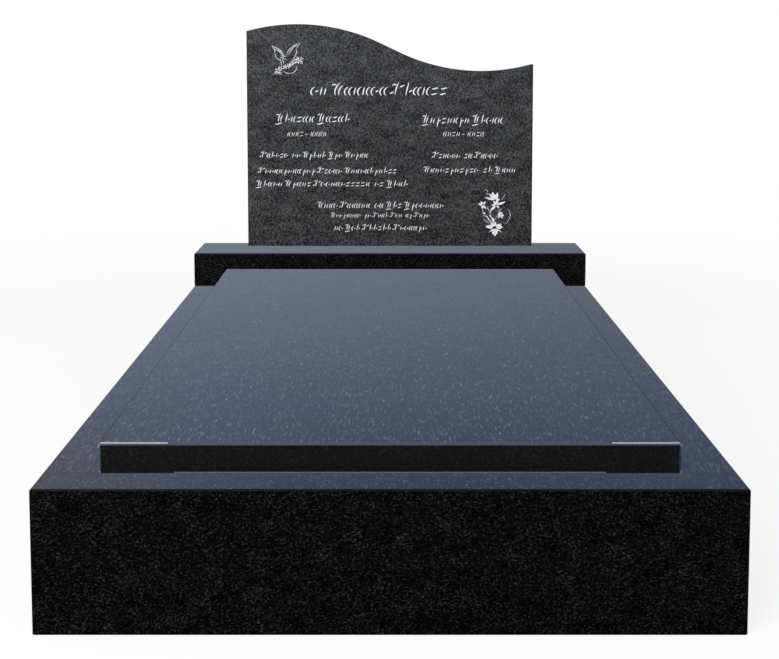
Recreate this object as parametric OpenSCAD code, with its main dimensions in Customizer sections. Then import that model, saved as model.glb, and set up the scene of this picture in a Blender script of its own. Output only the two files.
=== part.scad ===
// Upright headstone with its base, kerb set and ledger.
// Built in millimetres. +Z is up, the inscribed face looks towards -Y, and the
// origin is at ground level in the middle of the plot.

/* [Plot] */
// Width of the kerb set over its outer faces
plot_width = 1200; // [900:10:1500]
// Length of the kerb set over its outer faces
plot_length = 2400; // [1800:10:3000]
// Height of the kerbs above the ground
kerb_height = 250; // [150:5:400]
// Width of kerb that shows in front of the ledger
kerb_width = 100; // [70:5:200]
// Width of kerb that shows on each side of the ledger
side_width = 96; // [70:1:200]
// Width of the hidden shelf inside the kerbs that carries the ledger
bearing = 50; // [30:5:80]

/* [Ledger] */
// Thickness of the ledger slab
ledger_thickness = 80; // [60:5:120]
// Height of the ledger's top above the kerbs
ledger_rise = 52; // [20:1:60]
// Width of the flat taken off the ledger's edges, which are broader than the rest
ledger_arris = 4; // [1:0.5:8]

/* [Base] */
// Depth of the base from front to back
base_depth = 250; // [200:10:400]
// Height of the base above the kerbs
base_height = 100; // [75:5:200]

/* [Headstone] */
// Width of the headstone
stone_width = 900; // [600:10:1200]
// Thickness of the headstone
stone_thickness = 75; // [50:5:150]
// Height of the wave's crest above the base
crest_height = 700; // [500:10:1200]
// Height of the wave's dip above the base
dip_height = 553; // [400:1:1100]
// Distance of the crest and of the dip from the centre line
wave_offset = 290; // [200:5:400]
// Radius of the crest's arc and of the dip's arc
wave_radius = 600; // [400:10:900]

/* [Joints and edges] */
// Open joint between neighbouring pieces
joint = 1; // [0.5:0.5:5]
// Width of the flat taken off each other visible edge
arris = 3; // [1:0.5:8]

/* [Hidden] */
$fn = 180;
// A cut runs this far past the face that it passes through
overshoot = 1;

front_y = -plot_length / 2;
back_y = plot_length / 2;
outer_x = plot_width / 2;
inner_x = outer_x - side_width;
shelf_x = inner_x - bearing;
ledger_front_y = front_y + kerb_width;
ledger_back_y = back_y - base_depth;
shelf_z = kerb_height + ledger_rise - ledger_thickness;
side_kerb_length = ledger_back_y - ledger_front_y - 2 * joint;
side_kerb_y = (ledger_front_y + ledger_back_y) / 2;
base_y = back_y - base_depth / 2;
stone_z = kerb_height + base_height;

// The top of the headstone is a crest arc, a short straight and a dip arc.
// The straight runs through the middle of the wave and touches both arcs.
crest_centre = [-wave_offset, crest_height - wave_radius];
dip_centre = [wave_offset, dip_height + wave_radius];
wave_middle = (crest_centre + dip_centre) / 2;
centre_angle = atan2(dip_centre.y - crest_centre.y, dip_centre.x - crest_centre.x);
straight_angle = centre_angle - asin(wave_radius / norm(dip_centre - wave_middle));
across_straight = [-sin(straight_angle), cos(straight_angle)];
crest_touch = crest_centre + wave_radius * across_straight;
dip_touch = dip_centre - wave_radius * across_straight;
above_crest = crest_height + overshoot;
beside_stone = stone_width / 2 + overshoot;

// Sub-part to draw

black_granite = [0.13, 0.13, 0.13];
grey_granite = [0.26, 0.27, 0.27];

// A rectangle standing on its bottom edge, with its two top corners taken off.
module side_outline(width, height, flat) {
  half = width / 2;
  polygon([
    [-half, 0], [half, 0], [half, height - flat], [half - flat, height],
    [flat - half, height], [-half, height - flat]
  ]);
}

// A rectangle about the origin with all four corners taken off.
module plan_outline(width, depth, flat) {
  half_x = width / 2;
  half_y = depth / 2;
  polygon([
    for (corner = [[1, 1], [-1, 1], [-1, -1], [1, -1]])
      let (along_x = corner.x * corner.y > 0)
        for (first = [true, false])
          let (cut_x = first != along_x)
            [corner.x * (half_x - (cut_x ? flat : 0)),
             corner.y * (half_y - (cut_x ? 0 : flat))]
  ]);
}

// A sawn block with its top and upright edges eased, standing on the origin.
module dressed_block(width, depth, height, flat = arris) {
  intersection() {
    rotate([90, 0, 0]) linear_extrude(depth, center = true) side_outline(width, height, flat);
    rotate([90, 0, 90]) linear_extrude(width, center = true) side_outline(depth, height, flat);
    linear_extrude(height) plan_outline(width, depth, flat);
  }
}

// The shelf of the front or head kerb fills the space between the side shelves.
// It starts inside its kerb, at the depth given, and ends at the bearing's edge.
module cross_shelf(from_y, to_y) {
  half = shelf_x - joint;
  translate([-half, min(from_y, to_y), 0])
    cube([2 * half, abs(to_y - from_y), shelf_z]);
}

module front_kerb() {
  middle_y = front_y + kerb_width / 2;
  color(black_granite)
    union() {
      translate([0, middle_y, 0]) dressed_block(plot_width, kerb_width, kerb_height);
      cross_shelf(middle_y, ledger_front_y + bearing);
    }
}

// side is -1 for the left kerb and 1 for the right one.
module side_kerb(side) {
  middle_x = side * (outer_x - side_width / 2);
  color(black_granite)
    union() {
      translate([middle_x, side_kerb_y, 0])
        dressed_block(side_width, side_kerb_length, kerb_height);
      translate([min(middle_x, side * shelf_x), side_kerb_y - side_kerb_length / 2, 0])
        cube([abs(middle_x - side * shelf_x), side_kerb_length, shelf_z]);
    }
}

module head_kerb() {
  color(black_granite)
    union() {
      translate([0, base_y, 0]) dressed_block(plot_width, base_depth, kerb_height);
      cross_shelf(base_y, ledger_back_y - bearing);
    }
}

module ledger() {
  color(black_granite)
    translate([0, side_kerb_y, shelf_z])
      dressed_block(2 * (inner_x - joint), side_kerb_length, ledger_thickness, ledger_arris);
}

module base() {
  color(black_granite)
    translate([0, base_y, kerb_height]) dressed_block(plot_width, base_depth, base_height);
}

// The headstone's face, cut to the wave along its top.
module wave_outline() {
  difference() {
    translate([-stone_width / 2, 0]) square([stone_width, crest_height]);
    difference() {
      translate([-beside_stone, crest_touch.y - wave_radius / 4])
        square([crest_touch.x + beside_stone, above_crest - crest_touch.y + wave_radius / 4]);
      translate(crest_centre) circle(wave_radius);
    }
    polygon([crest_touch, dip_touch, [dip_touch.x, above_crest], [crest_touch.x, above_crest]]);
    intersection() {
      translate([dip_touch.x, dip_height - overshoot])
        square([beside_stone - dip_touch.x, above_crest - dip_height + overshoot]);
      translate(dip_centre) circle(wave_radius);
    }
  }
}

module headstone() {
  color(grey_granite)
    translate([0, back_y, stone_z])
      rotate([90, 0, 0]) linear_extrude(stone_thickness) wave_outline();
}

front_kerb();
side_kerb(-1);  // left_kerb
side_kerb(1);  // right_kerb
head_kerb();
ledger();
base();
headstone();
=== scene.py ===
# %% [markdown]
# # A grave memorial in polished granite
#
# An upright headstone with a wave along its top stands on a low base, at the head of a plot that is
# edged by four kerbs and closed by a flat slab, the ledger. The solids come packed as a fixed frame:
# every length here is in metres, +Z is up and the inscription looks towards -Y.

# %% Load the frame
import math
import random

import bmesh
import bpy
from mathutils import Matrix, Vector
from mathutils.geometry import interpolate_bezier


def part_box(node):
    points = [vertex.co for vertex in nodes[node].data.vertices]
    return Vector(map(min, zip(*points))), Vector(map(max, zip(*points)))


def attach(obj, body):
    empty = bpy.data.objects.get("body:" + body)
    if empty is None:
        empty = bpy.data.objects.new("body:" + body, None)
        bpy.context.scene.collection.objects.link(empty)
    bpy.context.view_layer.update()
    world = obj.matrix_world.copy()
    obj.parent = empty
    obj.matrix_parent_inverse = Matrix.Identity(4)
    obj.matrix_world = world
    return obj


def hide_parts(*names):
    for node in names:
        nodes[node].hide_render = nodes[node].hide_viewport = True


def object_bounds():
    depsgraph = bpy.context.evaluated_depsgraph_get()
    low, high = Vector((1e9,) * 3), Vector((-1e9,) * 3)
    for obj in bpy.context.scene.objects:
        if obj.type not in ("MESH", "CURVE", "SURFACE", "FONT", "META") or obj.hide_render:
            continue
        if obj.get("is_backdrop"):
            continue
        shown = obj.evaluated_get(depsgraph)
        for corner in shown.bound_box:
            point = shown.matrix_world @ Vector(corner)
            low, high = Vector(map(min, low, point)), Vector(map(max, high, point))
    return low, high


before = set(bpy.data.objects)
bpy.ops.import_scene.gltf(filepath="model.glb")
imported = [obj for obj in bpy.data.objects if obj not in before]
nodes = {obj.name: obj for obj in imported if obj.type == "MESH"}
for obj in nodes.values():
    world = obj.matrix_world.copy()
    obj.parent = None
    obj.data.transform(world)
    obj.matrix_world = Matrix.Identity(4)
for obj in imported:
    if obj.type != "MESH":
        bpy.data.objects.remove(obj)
low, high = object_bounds()
print("the memorial is", [round(size, 3) for size in high - low], "m")

# %% [markdown]
# ## Camera
#
# A visitor stands at the foot of the plot and looks along it. The lens is a short telephoto, so the
# kerbs run together gently. The film is shifted down instead of the camera being tipped further:
# that keeps the uprights nearly upright, as an architect's camera does.

# %% Place the camera
MM = 0.001
sensor_width = 36.0
camera_data = bpy.data.cameras.new("camera")
camera_data.sensor_width = sensor_width
camera_data.lens = 70.15
camera_data.shift_x = -0.0006
camera_data.shift_y = -0.1665
camera = bpy.data.objects.new("camera", camera_data)
distance_to_kerb = 2.458
eye_height = 0.983
pitch_down = math.radians(5.8)
camera.location = (0, low.y - distance_to_kerb, eye_height)
camera.rotation_euler = (math.pi / 2 - pitch_down, 0, 0)
bpy.context.scene.collection.objects.link(camera)
bpy.context.scene.camera = camera
print("camera at", [round(c, 3) for c in camera.location])

# %% [markdown]
# ## Helpers for node trees
#
# A colour is written as the hex value that a paint program shows, and one function turns it into
# the linear numbers that the renderer works in. One more function adds a node, sets it and links it.


# %% Colours and nodes
def linear(hex_colour):
    """The linear colour of an sRGB hex value such as '3B3F42', with full alpha."""
    channels = []
    for i in (0, 2, 4):
        c = int(hex_colour[i:i + 2], 16) / 255
        channels.append(c / 12.92 if c <= 0.04045 else ((c + 0.055) / 1.055) ** 2.4)
    return (*channels, 1.0)


def add(tree, kind, inputs=None, **settings):
    """A new node: settings are its own properties, inputs are values or sockets to link."""
    node = tree.nodes.new(kind)
    for name, value in settings.items():
        setattr(node, name, value)
    for name, value in (inputs or {}).items():
        if isinstance(value, bpy.types.NodeSocket):
            tree.links.new(value, node.inputs[name])
        else:
            node.inputs[name].default_value = value
    return node


def new_material(name):
    """An empty material with its tree and output node."""
    material = bpy.data.materials.new(name)
    material.use_nodes = True
    material.node_tree.nodes.clear()
    output = add(material.node_tree, "ShaderNodeOutputMaterial")
    return material, material.node_tree, output


# %% [markdown]
# ## Light
#
# Polished black stone has hardly a colour of its own: what the eye sees on it is its surroundings.
# So the studio has three parts. The background is plain white. A soft, even white light comes from
# all round: with the softbox below, it is at the level where the white paint renders about as it is
# written. What the polish mirrors is a grey-blue evening sky, brighter to the left, under a dark
# ceiling and over dark ground: seen at a low angle the tops take on that sky, and the upright faces
# stay black. Above the lowest part of the sky a bluer haze lies to either side, and a warmer one to
# the left.

# %% World
world = bpy.data.worlds.new("studio")
bpy.context.scene.world = world
world.use_nodes = True
tree = world.node_tree
tree.nodes.clear()

direction = add(tree, "ShaderNodeTexCoord").outputs["Generated"]
parts = add(tree, "ShaderNodeSeparateXYZ", {"Vector": direction})
sky = add(tree, "ShaderNodeValToRGB", {"Fac": parts.outputs["Z"]})
sky.color_ramp.elements[0].position = 0.0
sky.color_ramp.elements[0].color = linear("A2A9B0")
sky.color_ramp.elements[1].position = 1.0
sky.color_ramp.elements[1].color = linear("2A3038")
sky_stops = (
    (0.13, "99A3B4"), (0.19, "92A0BA"), (0.235, "8396B9"), (0.28, "6F82A3"), (0.55, "8D97A8"),
)
for height, hex_colour in sky_stops:
    stop = sky.color_ramp.elements.new(height)
    stop.color = linear(hex_colour)
steep = add(
    tree, "ShaderNodeMapRange", {"Value": parts.outputs["Z"], "From Min": 0.20, "From Max": 0.26}
)
sky_colour = sky.outputs["Color"]
# Where a haze begins and where it is full, along X in the direction looked in, and its colour.
hazes = ((-0.06, -0.2, "9AAED4"), (0.06, 0.2, "94A8CE"), (-0.12, -0.2, "878373"))
thickest_haze = 0.5
for begins, full, hex_colour in hazes:
    aside = add(
        tree, "ShaderNodeMapRange",
        {"Value": parts.outputs["X"], "From Min": begins, "From Max": full,
         "To Max": thickest_haze},
    )
    haze = add(
        tree, "ShaderNodeMath",
        {0: aside.outputs["Result"], 1: steep.outputs["Result"]}, operation="MULTIPLY",
    )
    sky_colour = add(
        tree, "ShaderNodeMixRGB",
        {"Fac": haze.outputs["Value"], "Color1": sky_colour, "Color2": linear(hex_colour)},
    ).outputs["Color"]
leftward = add(
    tree, "ShaderNodeMapRange",
    {"Value": parts.outputs["X"], "From Min": -0.5, "From Max": 0.5, "To Min": 1.5, "To Max": 0.5},
)
above_ground = add(
    tree, "ShaderNodeMapRange",
    {"Value": parts.outputs["Z"], "From Min": -0.01, "From Max": 0.02, "To Min": 0.01, "To Max": 1.0},
)
sky_level = add(
    tree, "ShaderNodeMath",
    {0: leftward.outputs["Result"], 1: above_ground.outputs["Result"]}, operation="MULTIPLY",
)
mirrored_sky = add(
    tree, "ShaderNodeBackground",
    {"Color": sky_colour, "Strength": sky_level.outputs["Value"]},
)
soft_light = add(tree, "ShaderNodeBackground", {"Color": (1, 1, 1, 1), "Strength": 0.65})
backdrop = add(tree, "ShaderNodeBackground", {"Color": (1, 1, 1, 1), "Strength": 1.0})
ray = add(tree, "ShaderNodeLightPath")
lit = add(
    tree, "ShaderNodeMixShader",
    {0: ray.outputs["Is Glossy Ray"], 1: soft_light.outputs[0], 2: mirrored_sky.outputs[0]},
)
seen = add(
    tree, "ShaderNodeMixShader",
    {0: ray.outputs["Is Camera Ray"], 1: lit.outputs[0], 2: backdrop.outputs[0]},
)
add(tree, "ShaderNodeOutputWorld", {"Surface": seen.outputs[0]})
print("world nodes:", len(tree.nodes))

# %% [markdown]
# One large softbox stands behind the visitor's left shoulder. It lights the carved face from the
# front, and gives the cuts and edges a side to be lit from and the floor a soft shadow. It isn't
# seen in the polish, as a photographer would flag it off.

# %% Softbox
softbox_data = bpy.data.lights.new("softbox", "AREA")
softbox_data.shape = "SQUARE"
softbox_data.size = 3.0
softbox_data.energy = 300.0
softbox = bpy.data.objects.new("softbox", softbox_data)
softbox.location = (-2.2, -5.0, 2.6)
softbox.rotation_euler = (Vector((0, 0, 0.6)) - softbox.location).to_track_quat("-Z", "Y").to_euler()
softbox.visible_glossy = False
bpy.context.scene.collection.objects.link(softbox)

# %% [markdown]
# The floor is a plain pale disc that fades into the white background, so it has no edge or horizon,
# and keeps the memorial's soft shadow. To the camera alone it is lifted towards white, as if the
# paper on it were lit a little from beneath. The polish doesn't mirror it.

# %% Floor
floor_radius = 8.0
fade_starts = 2.0
fade_ends = 5.0
lift_towards_white = 0.8
mesh = bpy.data.meshes.new("floor")
bm = bmesh.new()
bmesh.ops.create_circle(bm, cap_ends=True, segments=96, radius=floor_radius)
bm.to_mesh(mesh)
bm.free()
floor = bpy.data.objects.new("floor", mesh)
bpy.context.scene.collection.objects.link(floor)
floor.visible_glossy = False
floor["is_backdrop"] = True

material, tree, output = new_material("pale_studio_floor")
place = add(tree, "ShaderNodeTexCoord").outputs["Object"]
from_centre = add(tree, "ShaderNodeVectorMath", {0: place}, operation="LENGTH")
fade = add(
    tree, "ShaderNodeMapRange",
    {"Value": from_centre.outputs["Value"], "From Min": fade_starts, "From Max": fade_ends},
    interpolation_type="SMOOTHSTEP",
)
pale = add(tree, "ShaderNodeBsdfDiffuse", {"Color": linear("FAFAFA")})
white = add(tree, "ShaderNodeEmission", {"Color": (1, 1, 1, 1), "Strength": 1.0})
clear = add(tree, "ShaderNodeBsdfTransparent")
lift = add(
    tree, "ShaderNodeMath",
    {0: add(tree, "ShaderNodeLightPath").outputs["Is Camera Ray"], 1: lift_towards_white},
    operation="MULTIPLY",
)
lifted = add(
    tree, "ShaderNodeMixShader",
    {0: lift.outputs["Value"], 1: pale.outputs[0], 2: white.outputs[0]},
)
faded = add(
    tree, "ShaderNodeMixShader",
    {0: fade.outputs["Result"], 1: lifted.outputs[0], 2: clear.outputs[0]},
)
tree.links.new(faded.outputs[0], output.inputs["Surface"])
mesh.materials.append(material)

# %% [markdown]
# ## Black granite
#
# The kerbs, ledger and base are a black gabbro that the trade calls black granite, sawn, polished
# to a mirror and eased along its edges. It gives the eye three things: a nearly black ground, faint
# grey grains of feldspar that lie in clusters and are drawn out along the slab, and a sharp polish.
#
# The grains are a noise whose steps are as long as the grains along each axis. A second, wider
# noise raises and lowers the level above which a grain shows, and that gathers them in clusters.


# %% Grains
def granite_grains(tree, place, grain_mm, level, cluster_mm=40):
    """0 on the ground and up to 1 inside a grain. The sockets are the mask and the stretched place."""
    cluster_pull = 0.02
    grain_scale = [1 / (size * MM) for size in grain_mm]
    grain_place = add(
        tree, "ShaderNodeVectorMath", {0: place, 1: grain_scale}, operation="MULTIPLY"
    ).outputs["Vector"]
    grains = add(
        tree, "ShaderNodeTexNoise",
        {"Vector": grain_place, "Scale": 1.0, "Detail": 3.0, "Roughness": 0.6, "Distortion": 0.5},
    )
    clusters = add(
        tree, "ShaderNodeTexNoise",
        {"Vector": place, "Scale": 1 / (cluster_mm * MM), "Detail": 2.0, "Roughness": 0.5},
    )
    lift = add(
        tree, "ShaderNodeMapRange",
        {"Value": clusters.outputs["Fac"], "From Min": 0.35, "From Max": 0.65,
         "To Min": -level - cluster_pull, "To Max": -level + cluster_pull},
    )
    above = add(
        tree, "ShaderNodeMath",
        {0: grains.outputs["Fac"], 1: lift.outputs["Result"]}, operation="ADD",
    )
    mask = add(
        tree, "ShaderNodeMapRange",
        {"Value": above.outputs["Value"], "From Min": 0.0, "From Max": 0.2},
    )
    return mask.outputs["Result"], grain_place


# %% [markdown]
# Here and there a grain lies with a cleavage face at the surface and catches the light. That glint is
# painted, a pale colour laid on those grains, and only on faces that look up. Those are the rare
# cells of a Voronoi pattern, cut down to a small core.


# %% Painted glints
def granite_glints(tree, grain_place, share):
    """1 on the few grains that get a painted glint."""
    cells = add(tree, "ShaderNodeTexVoronoi", {"Vector": grain_place, "Scale": 0.9})
    lot = add(tree, "ShaderNodeSeparateColor", {"Color": cells.outputs["Color"]})
    drawn = add(
        tree, "ShaderNodeMapRange",
        {"Value": lot.outputs["Red"], "From Min": 1 - share, "From Max": 1 - share / 3},
    )
    core = add(
        tree, "ShaderNodeMapRange",
        {"Value": cells.outputs["Distance"], "From Min": 0.1, "From Max": 0.42,
         "To Min": 1.0, "To Max": 0.0},
    )
    painted_glint = add(
        tree, "ShaderNodeMath",
        {0: drawn.outputs["Result"], 1: core.outputs["Result"]}, operation="MULTIPLY",
    )
    return painted_glint.outputs["Value"]


# %% [markdown]
# The eased edges, which masons call arrises, are ground but not polished. On the side kerbs and the
# ledger their colour is also a painted reflection of the blue-grey sky. They are the only faces that
# don't look straight along an axis, so the normal's largest part finds them.


# %% Arrises
def on_arris(tree):
    """1 on the eased edges and 0 on the faces that look along X, Y or Z."""
    straight_on = 0.9
    normal = add(tree, "ShaderNodeNewGeometry").outputs["True Normal"]
    size = add(tree, "ShaderNodeVectorMath", {0: normal}, operation="ABSOLUTE")
    axes = add(tree, "ShaderNodeSeparateXYZ", {"Vector": size.outputs["Vector"]})
    level = add(
        tree, "ShaderNodeMath", {0: axes.outputs["X"], 1: axes.outputs["Y"]}, operation="MAXIMUM"
    )
    largest = add(
        tree, "ShaderNodeMath", {0: level.outputs["Value"], 1: axes.outputs["Z"]},
        operation="MAXIMUM",
    )
    mask = add(
        tree, "ShaderNodeMath", {0: largest.outputs["Value"], 1: straight_on},
        operation="LESS_THAN",
    )
    return mask.outputs["Value"]


# %% [markdown]
# Polished stone is a plain dielectric, and its minerals differ in their index of refraction. Real
# ones lie between about 1.5 and 1.7. The range is drawn a little wider here, with the higher index on
# the grains, so that at a low angle they still show, as they mirror more of the sky. The polish is
# nearly a mirror, a little duller on the grains and where the polishing pads wandered.


# %% The polished surface
def polished_surface(tree, output, place, colour, grain, arris, sharpest=0.09):
    """Links a polished stone surface of that colour to the output."""
    wander_mm = 90
    wander_dulls = 0.04
    grain_dulls = 0.10
    arris_dulls = 0.15
    lowest_index = 1.48
    highest_index = 1.70
    wander = add(
        tree, "ShaderNodeTexNoise",
        {"Vector": place, "Scale": 1 / (wander_mm * MM), "Detail": 3.0, "Roughness": 0.6},
    )
    dullness = add(
        tree, "ShaderNodeMapRange",
        {"Value": wander.outputs["Fac"], "From Min": 0.3, "From Max": 0.7,
         "To Min": sharpest, "To Max": sharpest + wander_dulls},
    )
    grainy = add(
        tree, "ShaderNodeMath",
        {0: grain, 1: grain_dulls, 2: dullness.outputs["Result"]}, operation="MULTIPLY_ADD",
    )
    roughness = add(
        tree, "ShaderNodeMath",
        {0: arris, 1: arris_dulls, 2: grainy.outputs["Value"]}, operation="MULTIPLY_ADD",
    )
    relief = add(
        tree, "ShaderNodeBump", {"Strength": 0.1, "Distance": 0.05 * MM, "Height": grain}
    )
    index = add(
        tree, "ShaderNodeMapRange",
        {"Value": grain, "To Min": lowest_index, "To Max": highest_index},
    )
    surface = add(
        tree, "ShaderNodeBsdfPrincipled",
        {"Base Color": colour, "Roughness": roughness.outputs["Value"],
         "IOR": index.outputs["Result"], "Normal": relief.outputs["Normal"]},
    )
    tree.links.new(surface.outputs["BSDF"], output.inputs["Surface"])


# %% [markdown]
# Each slab is laid with the drawn-out grains along its length, so the front kerb, head kerb and
# base have them crosswise and the side kerbs and the ledger have them lengthwise. The feldspars are
# flat flakes that lie in the bed of the stone: on a top they show their broad faces, and on a side
# only their thin edges. So the way a face looks sets the colour of its grains, and on the tops that
# colour is also painted light, set for how the light falls on the tops.


# %% Black granite
def black_granite(name, grain_mm, level, ground, edge_on, broad_and_top_light, painted_glint, glint_share, arris_colour_and_sky_reflection):
    """Polished black granite, with its grains' colour edge-on and on the tops, where it is also
    painted light.
    """
    material, tree, output = new_material(name)
    place = add(tree, "ShaderNodeTexCoord").outputs["Object"]
    grain, grain_place = granite_grains(tree, place, grain_mm, level)
    arris = on_arris(tree)
    normal = add(tree, "ShaderNodeNewGeometry").outputs["True Normal"]
    upward = add(tree, "ShaderNodeSeparateXYZ", {"Vector": normal}).outputs["Z"]
    # The grains' colour on the tops is painted light: it changes with how far the face looks up.
    fleck_with_top_light = add(
        tree, "ShaderNodeMixRGB",
        {"Fac": upward, "Color1": linear(edge_on), "Color2": linear(broad_and_top_light)},
    )
    flecked = add(
        tree, "ShaderNodeMixRGB",
        {"Fac": grain, "Color1": linear(ground), "Color2": fleck_with_top_light.outputs["Color"]},
    )
    # Painted glints: a pale colour on the glinting grains, on faces that look up only.
    glint_mask = add(
        tree, "ShaderNodeMath",
        {0: granite_glints(tree, grain_place, glint_share), 1: upward}, operation="MULTIPLY",
        use_clamp=True,
    )
    with_painted_glints = add(
        tree, "ShaderNodeMixRGB",
        {"Fac": glint_mask.outputs["Value"], "Color1": flecked.outputs["Color"],
         "Color2": linear(painted_glint)},
    )
    eased = add(
        tree, "ShaderNodeMixRGB",
        {"Fac": arris, "Color1": with_painted_glints.outputs["Color"], "Color2": linear(arris_colour_and_sky_reflection)},
    )
    polished_surface(tree, output, place, eased.outputs["Color"], grain, arris)
    return material


# On the side kerbs and the ledger the arris colour is a blue-grey painted reflection of the sky.
crosswise = black_granite(
    "polished_black_granite_crosswise", grain_mm=(3.3, 9, 1.9), level=0.548, ground="020202",
    edge_on="363736", broad_and_top_light="56544E", painted_glint="6A6862", glint_share=0.14, arris_colour_and_sky_reflection="0A0A0B",
)
lengthwise = black_granite(
    "polished_black_granite_lengthwise", grain_mm=(3.4, 28, 2.2), level=0.49, ground="020202",
    edge_on="2E2F2F", broad_and_top_light="464A50", painted_glint="6A6862", glint_share=0.12, arris_colour_and_sky_reflection="383D47",
)
slab_granite = black_granite(
    "polished_black_granite_slab", grain_mm=(3.8, 30, 2.5), level=0.53, ground="0F1012",
    edge_on="26231E", broad_and_top_light="5A5D62", painted_glint="84878E", glint_share=0.05, arris_colour_and_sky_reflection="3C4350",
)
base_granite = black_granite(
    "polished_black_granite_base", grain_mm=(3.3, 9, 2.1), level=0.53, ground="060606",
    edge_on="3C3D3C", broad_and_top_light="2C2C2B", painted_glint="6A6862", glint_share=0.08, arris_colour_and_sky_reflection="151618",
)
finishes = {
    "front_kerb": crosswise, "head_kerb": crosswise, "base": base_granite,
    "left_kerb": lengthwise, "right_kerb": lengthwise, "ledger": slab_granite,
}
for node_name, finish in finishes.items():
    nodes[node_name].data.materials.clear()
    nodes[node_name].data.materials.append(finish)
print("black granite on", sorted(finishes))

# %% [markdown]
# The ledger's arris is broader than the others, 4 mm. Near each front corner a painted glint, a
# pale line, runs along its upper edge, turns down the corner for a few millimetres and shows again
# as a dot at the foot. A thin pale line, a painted highlight, lies along the foot of the front
# between the corners. The long arrises are painted darker, a painted shade of the joint, so that a
# fine dark line parts the ledger from the side kerbs. All of these are laid over the slab's colour,
# by where they are on the ledger.


# %% Painted corner glints, foot highlight and joint shade
def within(tree, value, least, most):
    """1 where the value is between least and most."""
    middle = (least + most) / 2
    near = add(
        tree, "ShaderNodeMath", {0: value, 1: middle, 2: (most - least) / 2}, operation="COMPARE"
    )
    return near.outputs["Value"]


def both(tree, first, second):
    """1 where both masks are 1."""
    return add(
        tree, "ShaderNodeMath", {0: first, 1: second}, operation="MULTIPLY"
    ).outputs["Value"]


tree = slab_granite.node_tree
ledger_low, ledger_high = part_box("ledger")
corner_mm = 120
arris_mm = 4
line_mm = 1.4
turn_mm = 8
dot_mm = 2.5
foot_highlight_mm = 1.2
foot_highlight_end_mm = 130
front_reach_mm = arris_mm + 2
slant_mm = 0.7
kerb_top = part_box("front_kerb")[1].z
place = add(tree, "ShaderNodeTexCoord").outputs["Object"]
at = add(tree, "ShaderNodeSeparateXYZ", {"Vector": place})
off_axis = add(tree, "ShaderNodeMath", {0: at.outputs["X"]}, operation="ABSOLUTE").outputs["Value"]
round_edge = add(
    tree, "ShaderNodeMath", {0: off_axis, 1: at.outputs["Z"]}, operation="ADD"
).outputs["Value"]
edge_sum = ledger_high.x + ledger_high.z - arris_mm * MM
at_front = within(tree, at.outputs["Y"], ledger_low.y - MM, ledger_low.y + front_reach_mm * MM)
at_corner = within(tree, off_axis, ledger_high.x - corner_mm * MM, ledger_high.x + MM)
at_side = within(tree, off_axis, ledger_high.x - line_mm * MM, ledger_high.x + MM)
upper = within(tree, at.outputs["Z"], ledger_high.z - line_mm * MM, ledger_high.z + MM)
round_top = within(tree, round_edge, edge_sum - slant_mm * MM, edge_sum + slant_mm * MM)
turned = within(tree, at.outputs["Z"], ledger_high.z - turn_mm * MM, ledger_high.z + MM)
dot = within(tree, at.outputs["Z"], kerb_top - MM, kerb_top + dot_mm * MM)
upright = add(tree, "ShaderNodeMath", {0: turned, 1: dot}, operation="MAXIMUM").outputs["Value"]
across = add(tree, "ShaderNodeMath", {0: upper, 1: round_top}, operation="MAXIMUM").outputs["Value"]
line = add(
    tree, "ShaderNodeMath", {0: across, 1: both(tree, at_side, upright)}, operation="MAXIMUM"
).outputs["Value"]
# Painted glint: the pale lines and dots near the front corners.
corner = both(tree, both(tree, at_front, at_corner), both(tree, line, on_arris(tree)))
# Painted highlight: a thin pale line along the foot of the front, between the corners.
inside = within(tree, off_axis, -MM, ledger_high.x - foot_highlight_end_mm * MM)
low_down = within(tree, at.outputs["Z"], kerb_top - MM, kerb_top + foot_highlight_mm * MM)
painted_foot_highlight = both(tree, both(tree, at_front, inside), low_down)
surface = next(node for node in tree.nodes if node.type == "BSDF_PRINCIPLED")
stone_colour = surface.inputs["Base Color"].links[0].from_socket
# Painted shade: the long arrises are darkened for the shade of the joint beside the side kerbs.
long_edge = within(tree, off_axis, ledger_high.x - arris_mm * MM, ledger_high.x + MM)
behind = within(tree, at.outputs["Y"], ledger_low.y + 2 * arris_mm * MM, ledger_high.y)
long_arris_shade = both(tree, both(tree, long_edge, behind), on_arris(tree))
with_joint_shade = add(
    tree, "ShaderNodeMixRGB",
    {"Fac": long_arris_shade, "Color1": stone_colour, "Color2": linear("060708")},
)
with_foot_highlight = add(
    tree, "ShaderNodeMixRGB",
    {"Fac": painted_foot_highlight, "Color1": with_joint_shade.outputs["Color"], "Color2": linear("5A5B5D")},
)
painted_corner_glint = add(
    tree, "ShaderNodeMixRGB",
    {"Fac": corner, "Color1": with_foot_highlight.outputs["Color"], "Color2": linear("A4A5A6")},
)
tree.links.new(painted_corner_glint.outputs["Color"], surface.inputs["Base Color"])

# %% [markdown]
# The tops are to mirror only the open sky. Without this, the base and the ledger would leave dark
# mirror images in the polish beside them.

# %% Keep the stones out of each other's polish
for node_name in finishes:
    nodes[node_name].visible_glossy = False

# %% [markdown]
# ## Headstone
#
# The headstone is one slab. Its outline is three straight sides and a wave: an arc over the crest,
# a short straight, and an arc through the dip. A vertex is spun round each arc's centre, so the
# arcs stay true, and the outline is then filled, pushed through to the slab's thickness and eased
# along its edges.

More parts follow.
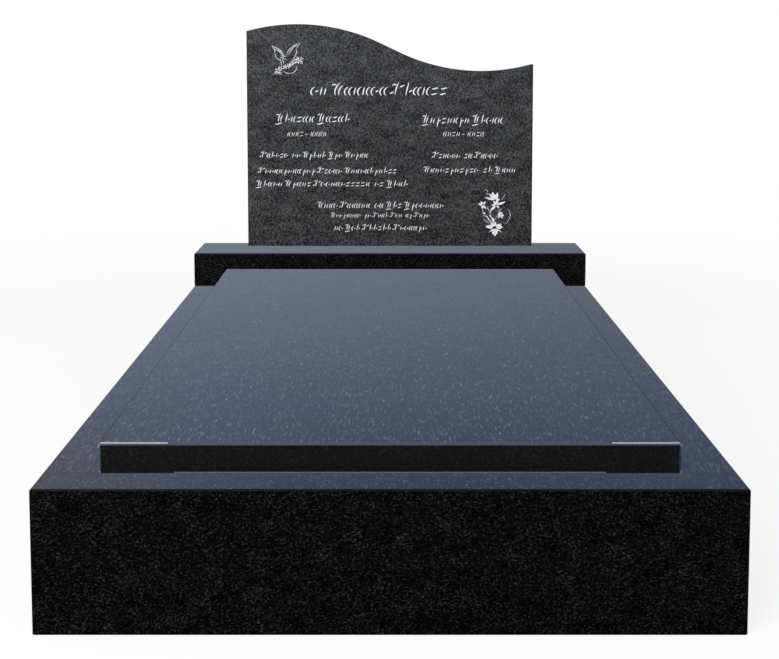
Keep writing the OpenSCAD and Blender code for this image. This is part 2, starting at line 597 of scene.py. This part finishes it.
# %% Sizes of the headstone
stone_low, stone_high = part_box("headstone")
face_y = stone_low.y
foot_z = stone_low.z
half_width = stone_high.x
thickness = stone_high.y - stone_low.y
crest_z = foot_z + 0.700
dip_z = foot_z + 0.553
wave_offset = 0.290
wave_radius = 0.600
crest_centre = Vector((-wave_offset, face_y, crest_z - wave_radius))
dip_centre = Vector((wave_offset, face_y, dip_z + wave_radius))
half_apart = (dip_centre - crest_centre) / 2
slope = math.atan2(half_apart.z, half_apart.x) - math.asin(wave_radius / half_apart.length)
print("headstone", round(2 * half_width, 3), "wide,", round(crest_z - foot_z, 3), "high")
print("the straight of the wave falls at", round(-math.degrees(slope), 1), "degrees")

# %% [markdown]
# The angles are measured from straight up over the crest, and from straight down under the dip.
# On the crest the arc runs from the left side to where the straight touches it, on the dip from
# there to the right side.

# %% Outline of the slab
side_angle = math.asin((half_width - wave_offset) / wave_radius)
arc_steps = 40
bm = bmesh.new()
first = bm.verts.new(
    crest_centre + wave_radius * Vector((-math.sin(side_angle), 0, math.cos(side_angle)))
)
bmesh.ops.spin(
    bm, geom=[first], cent=crest_centre, axis=(0, 1, 0), angle=side_angle - slope, steps=arc_steps
)
touch = dip_centre - wave_radius * Vector((-math.sin(slope), 0, math.cos(slope)))
second = bm.verts.new(touch)
bmesh.ops.spin(
    bm, geom=[second], cent=dip_centre, axis=(0, -1, 0), angle=side_angle - slope, steps=arc_steps
)
foot_right = bm.verts.new((half_width, face_y, foot_z))
foot_left = bm.verts.new((-half_width, face_y, foot_z))
wave = [v for v in bm.verts if v not in (foot_right, foot_left)]
wave.sort(key=lambda v: v.co.x)
face = bm.faces.new([*wave, foot_right, foot_left])
print("outline of", len(face.verts), "corners")

# %% Thickness and eased edges
pushed = bmesh.ops.extrude_face_region(bm, geom=[face])
back = [v for v in pushed["geom"] if isinstance(v, bmesh.types.BMVert)]
bmesh.ops.translate(bm, vec=(0, thickness, 0), verts=back)
bmesh.ops.recalc_face_normals(bm, faces=bm.faces)
arris = 3 * MM
rims = [e for e in bm.edges if abs(e.verts[0].co.y - e.verts[1].co.y) < MM]
rims = [e for e in rims if e.verts[0].co.z > foot_z + MM or e.verts[1].co.z > foot_z + MM]
bmesh.ops.bevel(
    bm, geom=rims, offset=arris, offset_type="OFFSET", affect="EDGES", segments=2,
    profile=0.5, material=-1,
)
print("closed:", all(e.is_manifold for e in bm.edges), "volume", round(bm.calc_volume(), 4), "m3")

# %% [markdown]
# The front is then divided into small fields. The carving is to cross it in hundreds of places, and
# one polygon with that many holes would be hard to fill; a field holds only a few strokes.

# %% Fields on the front
field = 15 * MM
columns = int((half_width - arris) / field)
planes = [(Vector((i * field, 0, 0)), Vector((1, 0, 0))) for i in range(-columns, columns + 1)]
rows = int((crest_z - foot_z) / field)
planes += [(Vector((0, 0, foot_z + i * field)), Vector((0, 0, 1))) for i in range(1, rows + 1)]
for point, normal in planes:
    front = [f for f in bm.faces if f.normal.y < -0.99]
    edges = list({e for f in front for e in f.edges})
    verts = list({v for f in front for v in f.verts})
    bmesh.ops.bisect_plane(bm, geom=verts + edges + front, plane_co=point, plane_no=normal)
print("fields:", sum(1 for f in bm.faces if f.normal.y < -0.99))
slab_mesh = bpy.data.meshes.new("headstone_slab")
bm.to_mesh(slab_mesh)
bm.free()

# %% [markdown]
# ## Carving
#
# The inscription and the two ornaments are sandblasted a millimetre into the face and painted. Each
# cut is a strip that narrows towards its ends, as a chisel or a brush leaves it: a grid, one face
# wide, whose rows are moved along a Bezier curve.
#
# Strips that cross are kept in different layers, since a tool that is to be taken out of a solid
# must not run through itself. Each new strip goes into the first layer where it is clear of others.

# %% One cut
CUT_DEPTH = 1.0 * MM
PROUD = 0.5 * MM
layers = []


def layer_for(box):
    """The mesh of the first layer where nothing crosses the box (left, right, low, high)."""
    left, right, below, above = box
    for bm, taken in layers:
        if all(right < t[0] or left > t[1] or above < t[2] or below > t[3] for t in taken):
            taken.append(box)
            return bm
    layers.append((bmesh.new(), [box]))
    return layers[-1][0]


def cut(curve, width, pointed=0.35, steps=8, fullest=0.5):
    """A strip along a Bezier curve of four (x, z) points, in metres on the face.

    It is width wide where it is fullest, and pointed times that at its ends.
    """
    line = interpolate_bezier(*[Vector((x, z, 0)) for x, z in curve], steps + 1)
    xs = [point.x for point in line]
    zs = [point.y for point in line]
    bm = layer_for((min(xs) - width, max(xs) + width, min(zs) - width, max(zs) + width))
    strip = bmesh.ops.create_grid(bm, x_segments=steps, y_segments=1, size=0.5)["verts"]
    for vertex in strip:
        along = vertex.co.x + 0.5
        i = round(along * steps)
        ahead = line[min(i + 1, steps)] - line[max(i - 1, 0)]
        across = Vector((-ahead.y, ahead.x, 0)).normalized()
        bulge = math.sin(math.pi * along ** (math.log(0.5) / math.log(fullest)))
        spread = width * (pointed + (1 - pointed) * bulge)
        place = line[i] + across * vertex.co.y * spread
        vertex.co = (place.x, face_y - PROUD, place.y)


# %% [markdown]
# ## Inscription
#
# The rows keep the layout of a memorial: a title, two columns for two people, and three closing
# lines. They spell nothing. Each place in a word takes one of a few leaning marks, drawn by lot from
# a fixed seed: bars, open hollows and short ticks, in pairs. A word opens with a larger figure of
# bars, arcs or waves beside a short flourish. From afar the rows look like writing, and a tall or
# deep bar with its tick comes near the shape of a letter.

# %% Marks
# Across, 0 to 1 is one place in a word. Up, 0 is the foot line and 1 the height of the marks.
BAR = ((0.26, 0.0), (0.25, 0.35), (0.27, 0.65), (0.28, 1.0))
LATE_BAR = ((0.72, 0.05), (0.71, 0.35), (0.73, 0.6), (0.74, 0.9))
TALL_BAR = ((0.34, 0.0), (0.33, 0.5), (0.35, 1.1), (0.38, 1.6))
DEEP_BAR = ((0.50, -0.6), (0.52, -0.1), (0.50, 0.5), (0.52, 1.0))
HOLLOW = ((0.46, 1.0), (0.02, 0.92), (0.02, 0.08), (0.44, 0.0))
LATE_HOLLOW = ((0.92, 1.0), (0.50, 0.92), (0.50, 0.08), (0.92, 0.0))
MIDDLE_TICK = ((0.64, 0.42), (0.72, 0.36), (0.82, 0.62), (0.94, 0.56))
LOW_TICK = ((0.14, 0.12), (0.40, -0.04), (0.60, 0.32), (0.86, 0.16))
HIGH_TICK = ((0.14, 0.82), (0.40, 0.66), (0.60, 1.02), (0.86, 0.86))
MARKS = (
    (HOLLOW, LATE_HOLLOW), (BAR, LATE_HOLLOW), (BAR, LATE_BAR), (TALL_BAR, MIDDLE_TICK),
    (DEEP_BAR, MIDDLE_TICK), (HOLLOW, MIDDLE_TICK), (LOW_TICK, HIGH_TICK), (BAR, MIDDLE_TICK),
)
FLOURISH = ((-0.42, 1.20), (-0.22, 1.55), (-0.10, 1.15), (0.02, 1.38))
INITIALS = (
    (
        FLOURISH,
        ((0.12, 0.05), (0.04, 0.5), (0.10, 1.1), (0.24, 1.6)),
        ((0.52, 0.1), (0.46, 0.4), (0.50, 0.9), (0.62, 1.25)),
        ((-0.25, -0.28), (0.15, -0.52), (0.50, 0.02), (0.85, -0.22)),
    ),
    (
        FLOURISH,
        ((0.44, 1.55), (0.02, 1.30), (-0.10, 0.30), (0.20, 0.0)),
        ((0.84, 1.25), (0.46, 1.05), (0.36, 0.25), (0.62, 0.0)),
    ),
    (
        FLOURISH,
        ((0.12, 0.05), (0.04, 0.5), (0.10, 1.1), (0.24, 1.6)),
        ((0.46, 1.10), (0.62, 0.92), (0.78, 1.34), (0.98, 1.18)),
        ((-0.52, 0.28), (-0.38, 0.10), (-0.24, 0.50), (-0.08, 0.34)),
    ),
)
NUMERALS = (
    (HOLLOW, LATE_HOLLOW), (BAR, LATE_BAR), (BAR, LATE_HOLLOW), (LOW_TICK, HIGH_TICK),
)
LEAN = 0.22
WORD_GAP = 0.8
SHORT_WORD = 2


def write_row(lot, left, right, foot, height, words, stroke, marks=MARKS, initials=True):
    """A row of marks from left to right, in millimetres from the middle and above the base."""
    places = sum(words) + WORD_GAP * (len(words) - 1)
    pitch = (right - left) / places
    x = left
    for length in words:
        for i in range(length):
            opens = initials and i == 0 and length > SHORT_WORD
            chosen = lot.choice(INITIALS if opens else marks)
            for mark in chosen:
                curve = [
                    ((x + pitch * across + LEAN * height * (up - 0.5)) * MM,
                     foot_z + (foot + height * up) * MM)
                    for across, up in mark
                ]
                cut(curve, stroke * MM)
            x += pitch
        x += WORD_GAP * pitch


# %% Rows
# Left and right ends, foot line, height of the marks, places in each word, and stroke width.
ROWS = (
    (-252, 182, 478, 25, (2, 6, 6), 4.1),
    (-353, -126, 393, 18, (6, 5), 3.2),
    (107, 356, 389, 18, (8, 5), 3.2),
    (-404, -69, 281, 13, (6, 2, 5, 3, 5), 2.8),
    (139, 341, 279, 14, (6, 2, 5), 2.8),
    (-411, 22, 231, 13, (12, 5, 11), 2.8),
    (111, 398, 234, 13, (11, 2, 4), 2.8),
    (-418, 57, 190, 13, (5, 5, 11, 2, 4), 2.8),
    (-225, 171, 121, 14, (4, 6, 2, 3, 8), 2.8),
    (-184, 127, 91, 11, (8, 2, 4, 3, 2, 4), 2.2),
    (-178, 117, 50, 13, (2, 3, 6, 7), 2.8),
)
YEARS = (
    (-325, -272, 348, 15, (4,), 2.1), (-252, -199, 348, 15, (4,), 2.1),
    (167, 222, 348, 15, (4,), 2.1), (243, 299, 348, 15, (4,), 2.1),
)
lot = random.Random(7)
for left, right, foot, height, words, stroke in ROWS:
    write_row(lot, left, right, foot, height, words, stroke)
for left, right, foot, height, words, stroke in YEARS:
    write_row(lot, left, right, foot, height, words, stroke, NUMERALS, False)
dash_height_mm = 355
dash_stroke_mm = 2.1
for x in (-264, 231):
    dash = [((x + step) * MM, foot_z + dash_height_mm * MM) for step in (-4, -1, 1, 4)]
    cut(dash, dash_stroke_mm * MM)
print("strokes:", sum(len(taken) for bm, taken in layers), "in", len(layers), "layers")

# %% [markdown]
# ## Bird
#
# At the top left a bird rises with a spray of flowers across it, in outline only. It is drawn here
# round its own middle, so that the whole ornament is placed by one number pair.

# %% Placing an ornament
def draw(middle, lines, width, **shape):
    """Cuts along curves given in millimetres from the ornament's middle."""
    for line in lines:
        curve = [((middle[0] + x) * MM, foot_z + (middle[1] + z) * MM) for x, z in line]
        cut(curve, width * MM, **shape)


def petals(middle, radius, count, width, turn=0.0, start=0.2):
    """Petals round a middle, each a leaf from near the middle to the radius."""
    for i in range(count):
        angle = turn + 2 * math.pi * i / count
        reach = [radius * (start + (1 - start) * step / 3) for step in range(4)]
        line = [(r * math.cos(angle), r * math.sin(angle)) for r in reach]
        draw(middle, [line], width, pointed=0.12, fullest=0.45)


# %% Bird and spray
BIRD_MIDDLE = (-321, 598)
outline_mm = 2.0
bar_mm = 1.6
branch_mm = 1.8
petal_share = 0.36
left_wing = (
    ((-50, 35), (-40, 24), (-40, 18), (-40, 10)),
    ((-40, 10), (-39, 0), (-33, -8), (-24, -11)),
    ((-50, 35), (-34, 29), (-16, 20), (-11, 2)),
    ((-43, 24), (-28, 22), (-20, 12), (-14, 2)),
)
bars = [
    ((x, z), (x + 1, z - 2), (x + 1, z - 3), (x + 2, z - 5))
    for x, z in ((-42, 30), (-36, 27), (-30, 23), (-24, 18), (-19, 12))
]
right_wing = (
    ((-4, 6), (-2, 20), (14, 34), (38, 44)),
    ((3, 8), (6, 18), (18, 30), (31, 39)),
    ((38, 44), (36, 36), (28, 32), (28, 26)),
    ((28, 26), (29, 10), (26, 2), (10, -16)),
)
body = (
    ((-24, -7), (-21, -12), (-20, -20), (-20, -27)),
    ((-19, -6), (-14, -10), (-13, -17), (-13, -24)),
    ((-22, 2), (-15, 6), (-10, -2), (-4, 4)),
    ((-24, -3), (-14, 0), (-10, -8), (-4, -8)),
    ((-13, -43), (-9, -50), (0, -52), (6, -52)),
    ((6, -52), (18, -52), (28, -44), (28, -29)),
)
draw(BIRD_MIDDLE, [*left_wing, *right_wing, *body], outline_mm)
draw(BIRD_MIDDLE, bars, bar_mm)
draw(BIRD_MIDDLE, [((-30, -44), (-16, -36), (8, -26), (40, -12))], branch_mm)
blossoms = (
    (-31, -43, 10.5), (-24, -33, 6.5), (-37, -50, 6.0), (-24, -52, 5.5), (-8, -31, 8.0),
    (3, -28, 8.5), (11, -21, 7.0), (18, -18, 6.5), (20, -10, 4.5), (31, -12, 10.0),
    (42, -17, 6.5), (43, -6, 6.5), (31, -4, 5.5),
)
for i, (x, z, radius) in enumerate(blossoms):
    blossom_middle = (BIRD_MIDDLE[0] + x, BIRD_MIDDLE[1] + z)
    petals(blossom_middle, radius, 5, petal_share * radius, turn=0.7 * i)

# %% [markdown]
# ## Lilies
#
# At the bottom right stands a bunch of lilies, cut out whole: a large open one below, a bud, another
# large one above it seen from the side, a small one on either hand, and thin tendrils between them.

# %% Lilies
LILY_MIDDLE = (330, 106)
bud_mm = 9
stem_mm = 3.4
tendril_mm = 1.6
leaf_mm = 5


def lily(middle, tips, start=0.2):
    """A lily with a petal from its middle to each (x, z, width), from the ornament's middle."""
    cx, cz = middle
    for x, z, width in tips:
        share = [start + (1 - start) * step / 3 for step in range(4)]
        line = [(cx + (x - cx) * part, cz + (z - cz) * part) for part in share]
        draw(LILY_MIDDLE, [line], width, pointed=0.15, fullest=0.42)


lily((2, -47), (
    (-27, -43, 12), (-10, -30, 11), (4, -29, 10), (24, -36, 11), (28, -46, 11), (25, -63, 3.5),
    (10, -68, 12), (3, -74, 14), (-4, -68, 11), (-17, -63, 3.5),
))
draw(
    LILY_MIDDLE, [((-1, -30), (-3, -24), (-4, -21), (-3, -17))], bud_mm, pointed=0.5,
    fullest=0.6,
)
lily((4, 40), ((-30, 49, 7), (-16, 60, 8), (-7, 66, 11), (1, 60, 7), (11, 64, 10), (18, 43, 8)), 0.12)
lily((6, 24), ((36, 35, 8), (12, 46, 8), (-2, 38, 7), (-9, 26, 5), (16, 15, 5), (-12, 6, 8)), 0.1)
lily((-36, 26), ((-50, 28, 8), (-42, 36, 8), (-27, 35, 6), (-25, 12, 6), (-38, 13, 7)), 0.15)
lily((21, -6), (
    (19, 5, 6), (27, 2, 5), (31, -10, 7), (26, -18, 5), (13, -17, 5), (10, -8, 6), (13, 0, 5),
), 0.15)
stems = (
    ((2, 24), (-6, 16), (-12, 8), (-13, -4)),
    ((-13, -4), (-14, -10), (-8, -14), (-4, -20)),
    ((-26, -8), (-22, -14), (-16, -22), (-10, -30)),
)
draw(LILY_MIDDLE, stems, stem_mm)
tendrils = (
    ((42, 12), (56, 4), (54, -22), (34, -38)),
    ((-37, -10), (-30, -8), (-24, -12), (-18, -20)),
    ((-35, -20), (-28, -22), (-26, -30), (-14, -34)),
    ((-38, 12), (-36, 4), (-32, 2), (-31, -4)),
    ((23, 42), (28, 48), (32, 54), (36, 60)),
    ((-30, 70), (-26, 76), (-20, 72), (-21, 64)),
    ((-28, 64), (-24, 58), (-18, 58), (-14, 62)),
    ((12, 10), (14, 4), (22, 10), (24, 14)),
    ((4, -22), (6, -12), (10, -10), (14, -12)),
    ((-20, 20), (-22, 12), (-16, 8), (-14, 4)),
)
draw(LILY_MIDDLE, tendrils, tendril_mm)
draw(LILY_MIDDLE, [((-36, -2), (-32, 0), (-30, -2), (-28, -4))], leaf_mm)
print("cuts:", sum(len(taken) for bm, taken in layers), "in", len(layers), "layers")

# %% [markdown]
# ## Granite of the headstone
#
# The headstone is of another stone, a mid-grey granite with black mica and a few bluish feldspars,
# in grains of four to six millimetres. It is mottled all over, with darker clouds where the mica
# gathers. The wave looks every way along X and Z, so here the eased edges are the faces that look
# partly along Y.

# %% Grey granite
grey_granite, tree, output = new_material("polished_grey_granite")
place = add(tree, "ShaderNodeTexCoord").outputs["Object"]
grain_mm = (4.4, 5.0, 6.2)
mica_place = add(
    tree, "ShaderNodeVectorMath", {0: place, 1: [1 / (size * MM) for size in grain_mm]},
    operation="MULTIPLY",
)
mica = add(
    tree, "ShaderNodeTexNoise",
    {"Vector": mica_place.outputs["Vector"], "Scale": 1.0, "Detail": 3.0, "Roughness": 0.65,
     "Distortion": 1.2},
)
cloud_mm = (60.0, 60.0, 36.0)
cloud_strength = 0.26
cloud_balance = -0.134
cloud_place = add(
    tree, "ShaderNodeVectorMath", {0: place, 1: [1 / (size * MM) for size in cloud_mm]},
    operation="MULTIPLY",
)
clouds = add(
    tree, "ShaderNodeTexNoise",
    {"Vector": cloud_place.outputs["Vector"], "Scale": 1.0, "Detail": 3.0, "Roughness": 0.6},
)
cloud_pull = add(
    tree, "ShaderNodeMath",
    {0: clouds.outputs["Fac"], 1: cloud_strength, 2: cloud_balance}, operation="MULTIPLY_ADD",
)
tone = add(
    tree, "ShaderNodeMath", {0: mica.outputs["Fac"], 1: cloud_pull.outputs["Value"]},
    operation="ADD",
)
stone_tone = add(tree, "ShaderNodeValToRGB", {"Fac": tone.outputs["Value"]})
stone_tone.color_ramp.elements[0].position = 0.395
stone_tone.color_ramp.elements[0].color = linear("151515")
stone_tone.color_ramp.elements[1].position = 0.62
stone_tone.color_ramp.elements[1].color = linear("57595A")
for position, hex_colour in ((0.45, "272728"), (0.50, "363738"), (0.555, "454647")):
    stop = stone_tone.color_ramp.elements.new(position)
    stop.color = linear(hex_colour)
feldspar_mm = 11.0
feldspar = add(
    tree, "ShaderNodeTexVoronoi", {"Vector": place, "Scale": 1 / (feldspar_mm * MM)},
)
feldspar_lot = add(tree, "ShaderNodeSeparateColor", {"Color": feldspar.outputs["Color"]})
blue_cells = add(
    tree, "ShaderNodeMapRange",
    {"Value": feldspar_lot.outputs["Green"], "From Min": 0.80, "From Max": 0.95, "To Max": 0.5},
)
blue_core = add(
    tree, "ShaderNodeMapRange",
    {"Value": feldspar.outputs["Distance"], "From Min": 0.2, "From Max": 0.6, "To Min": 1.0,
     "To Max": 0.0},
)
blue = add(
    tree, "ShaderNodeMath", {0: blue_cells.outputs["Result"], 1: blue_core.outputs["Result"]},
    operation="MULTIPLY",
)
bluish = add(
    tree, "ShaderNodeMixRGB",
    {"Fac": blue.outputs["Value"], "Color1": stone_tone.outputs["Color"], "Color2": linear("4C5568")},
)
least_turn = 0.15
most_turn = 0.95
normal = add(tree, "ShaderNodeNewGeometry").outputs["True Normal"]
facing = add(tree, "ShaderNodeSeparateXYZ", {"Vector": normal}).outputs["Y"]
turn = add(tree, "ShaderNodeMath", {0: facing}, operation="ABSOLUTE").outputs["Value"]
edge = within(tree, turn, least_turn, most_turn)
eased = add(
    tree, "ShaderNodeMixRGB",
    {"Fac": edge, "Color1": bluish.outputs["Color"], "Color2": linear("26282A")},
)
polished_surface(
    tree, output, place, eased.outputs["Color"], mica.outputs["Fac"], edge, sharpest=0.14
)

# %% [markdown]
# The cuts are filled with a stone paint, a matt off-white that has settled unevenly into the
# blasted floor.

# %% Paint in the cuts
cut_paint, tree, output = new_material("matt_stone_paint")
place = add(tree, "ShaderNodeTexCoord").outputs["Object"]
blast_mm = 2.0
blasted = add(
    tree, "ShaderNodeTexNoise",
    {"Vector": place, "Scale": 1 / (blast_mm * MM), "Detail": 2.0, "Roughness": 0.6},
)
settled = add(
    tree, "ShaderNodeMixRGB",
    {"Fac": blasted.outputs["Fac"], "Color1": linear("DDDEE1"), "Color2": linear("F0F1F3")},
)
blasted_relief = add(
    tree, "ShaderNodeBump",
    {"Strength": 0.3, "Distance": 0.2 * MM, "Height": blasted.outputs["Fac"]},
)
paint = add(
    tree, "ShaderNodeBsdfPrincipled",
    {"Base Color": settled.outputs["Color"], "Roughness": 0.75, "IOR": 1.48,
     "Normal": blasted_relief.outputs["Normal"]},
)
tree.links.new(paint.outputs["BSDF"], output.inputs["Surface"])

# %% [markdown]
# ## Cutting the carving in
#
# The strips of a layer get their depth in one extrusion. A Boolean modifier with the Manifold
# solver then takes each layer out of the slab: it is made for solids of many closed pieces, and it
# hands the paint of the cutting faces on to the floor and walls of each cut.

# %% Take the layers out of the slab
slab = bpy.data.objects.new("slab", slab_mesh)
slab_mesh.materials.append(grey_granite)
slab_mesh.materials.append(cut_paint)
bpy.context.scene.collection.objects.link(slab)
cutters = []
for bm, taken in layers:
    sunk = bmesh.ops.extrude_face_region(bm, geom=bm.faces[:])
    floor_verts = [v for v in sunk["geom"] if isinstance(v, bmesh.types.BMVert)]
    bmesh.ops.translate(bm, vec=(0, PROUD + CUT_DEPTH, 0), verts=floor_verts)
    bmesh.ops.recalc_face_normals(bm, faces=bm.faces)
    for face in bm.faces:
        face.material_index = 1
    mesh = bpy.data.meshes.new("cutter")
    bm.to_mesh(mesh)
    bm.free()
    mesh.materials.append(grey_granite)
    mesh.materials.append(cut_paint)
    cutter = bpy.data.objects.new("cutter", mesh)
    bpy.context.scene.collection.objects.link(cutter)
    cutters.append(cutter)
    take_out = slab.modifiers.new("carving", "BOOLEAN")
    take_out.operation = "DIFFERENCE"
    take_out.solver = "MANIFOLD"
    take_out.object = cutter
carved = bpy.data.meshes.new_from_object(
    slab.evaluated_get(bpy.context.evaluated_depsgraph_get())
)
for cutter in cutters:
    bpy.data.objects.remove(cutter)
bpy.data.objects.remove(slab)

# %% [markdown]
# The carved mesh becomes the headstone. Its flat faces stay flat, and only the small steps of the
# wave are shaded smooth, by the angle between them.

# %% Headstone
carved.name = "headstone_carved"
headstone = bpy.data.objects.new("headstone_carved", carved)
bpy.context.scene.collection.objects.link(headstone)
sharp_above = math.radians(25)
carved.shade_smooth()
carved.set_sharp_from_angle(angle=sharp_above)
headstone.visible_glossy = False
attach(headstone, "root")
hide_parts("headstone")
painted = sum(p.area for p in carved.polygons if p.material_index == 1)
print("headstone faces", len(carved.polygons), "painted", round(painted * 1e4, 1), "cm2")

# %% [markdown]
# ## Finish
#
# The box of what is seen is taken once more at the end.

# %% Sizes and the end
low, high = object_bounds()
bpy.context.scene.view_settings.view_transform = "Standard"
